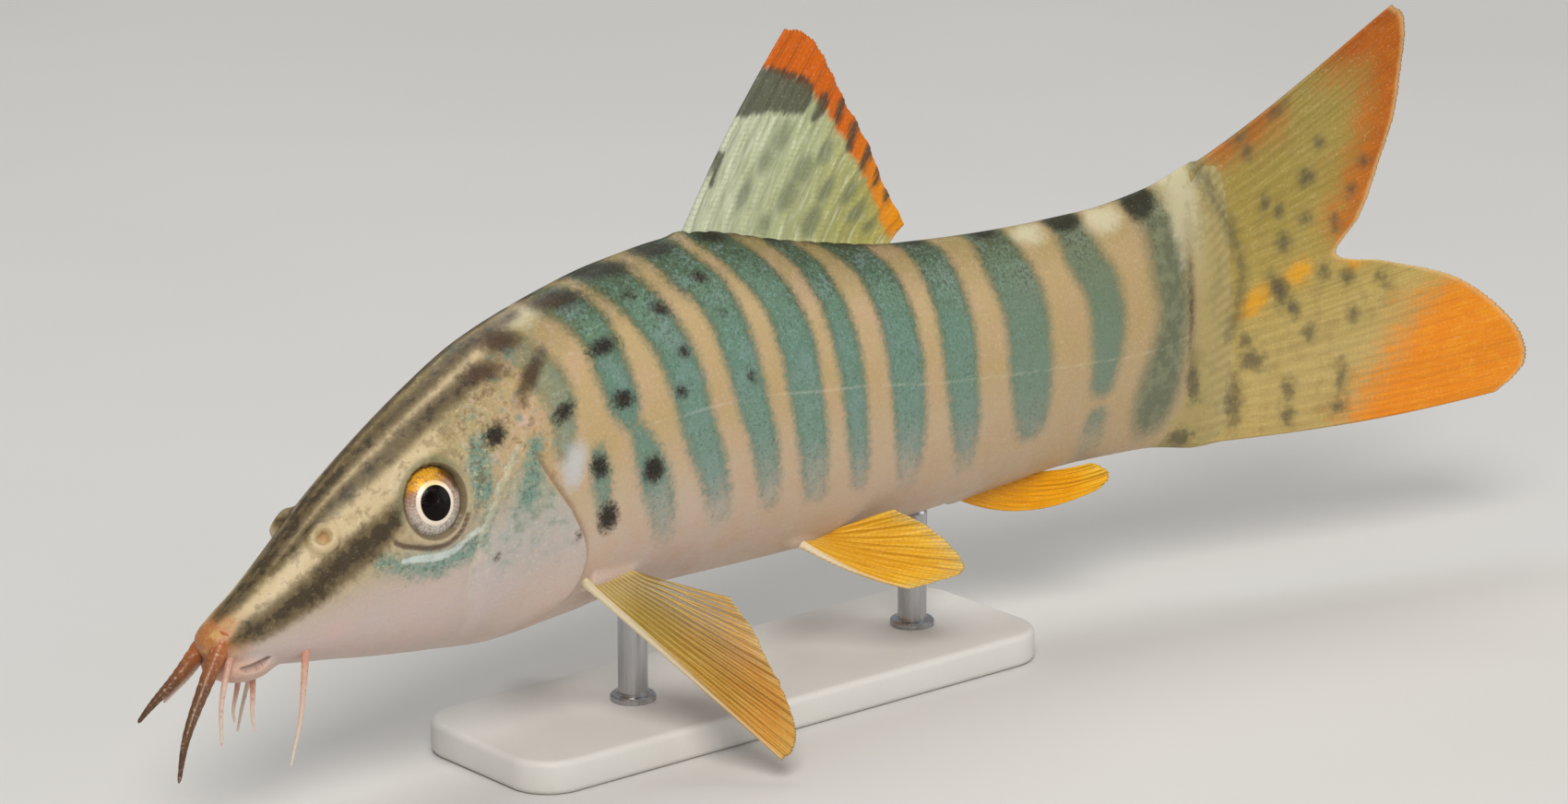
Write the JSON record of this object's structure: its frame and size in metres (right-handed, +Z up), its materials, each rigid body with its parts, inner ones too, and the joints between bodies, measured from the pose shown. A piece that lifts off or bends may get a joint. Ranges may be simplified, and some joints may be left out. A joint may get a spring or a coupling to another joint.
{
  "type": "tiger loach display model",
  "caption": "Life-size still model of a swimming tiger loach held over a flat stand by two short rods.",
  "frame": {"origin": "centre of the underside of the stand's base", "axes": "+X along the fish from head to tail, the fish's left side towards -Y, +Z up"},
  "size_m": [0.1505, 0.0382, 0.0597],
  "materials": {
    "skin": "painted loach skin, satin",
    "fin": "thin tinted membrane with raised rays",
    "barbel": "soft satin",
    "eye": "wet gloss",
    "stand_base": "fine matt",
    "stand_rod": "brushed"
  },
  "bodies": {
    "root": {"head": "skin", "torso": "skin", "tail_peduncle": "skin", "eye_left": "eye", "eye_right": "eye", "dorsal_fin": "fin", "caudal_fin_upper_lobe": "fin", "caudal_fin_lower_lobe": "fin", "anal_fin": "fin", "pectoral_fin_left": "fin", "pectoral_fin_right": "fin", "pelvic_fin_left": "fin", "pelvic_fin_right": "fin", "rostral_barbel_upper_left": "barbel", "rostral_barbel_upper_right": "barbel", "rostral_barbel_lower_left": "barbel", "rostral_barbel_lower_right": "barbel", "maxillary_barbel_left": "barbel", "maxillary_barbel_right": "barbel", "mandibular_barbel_left": "barbel", "mandibular_barbel_right": "barbel", "stand_base": "stand_base", "stand_rod_front": "stand_rod", "stand_rod_rear": "stand_rod"}
  },
  "joints": []
}
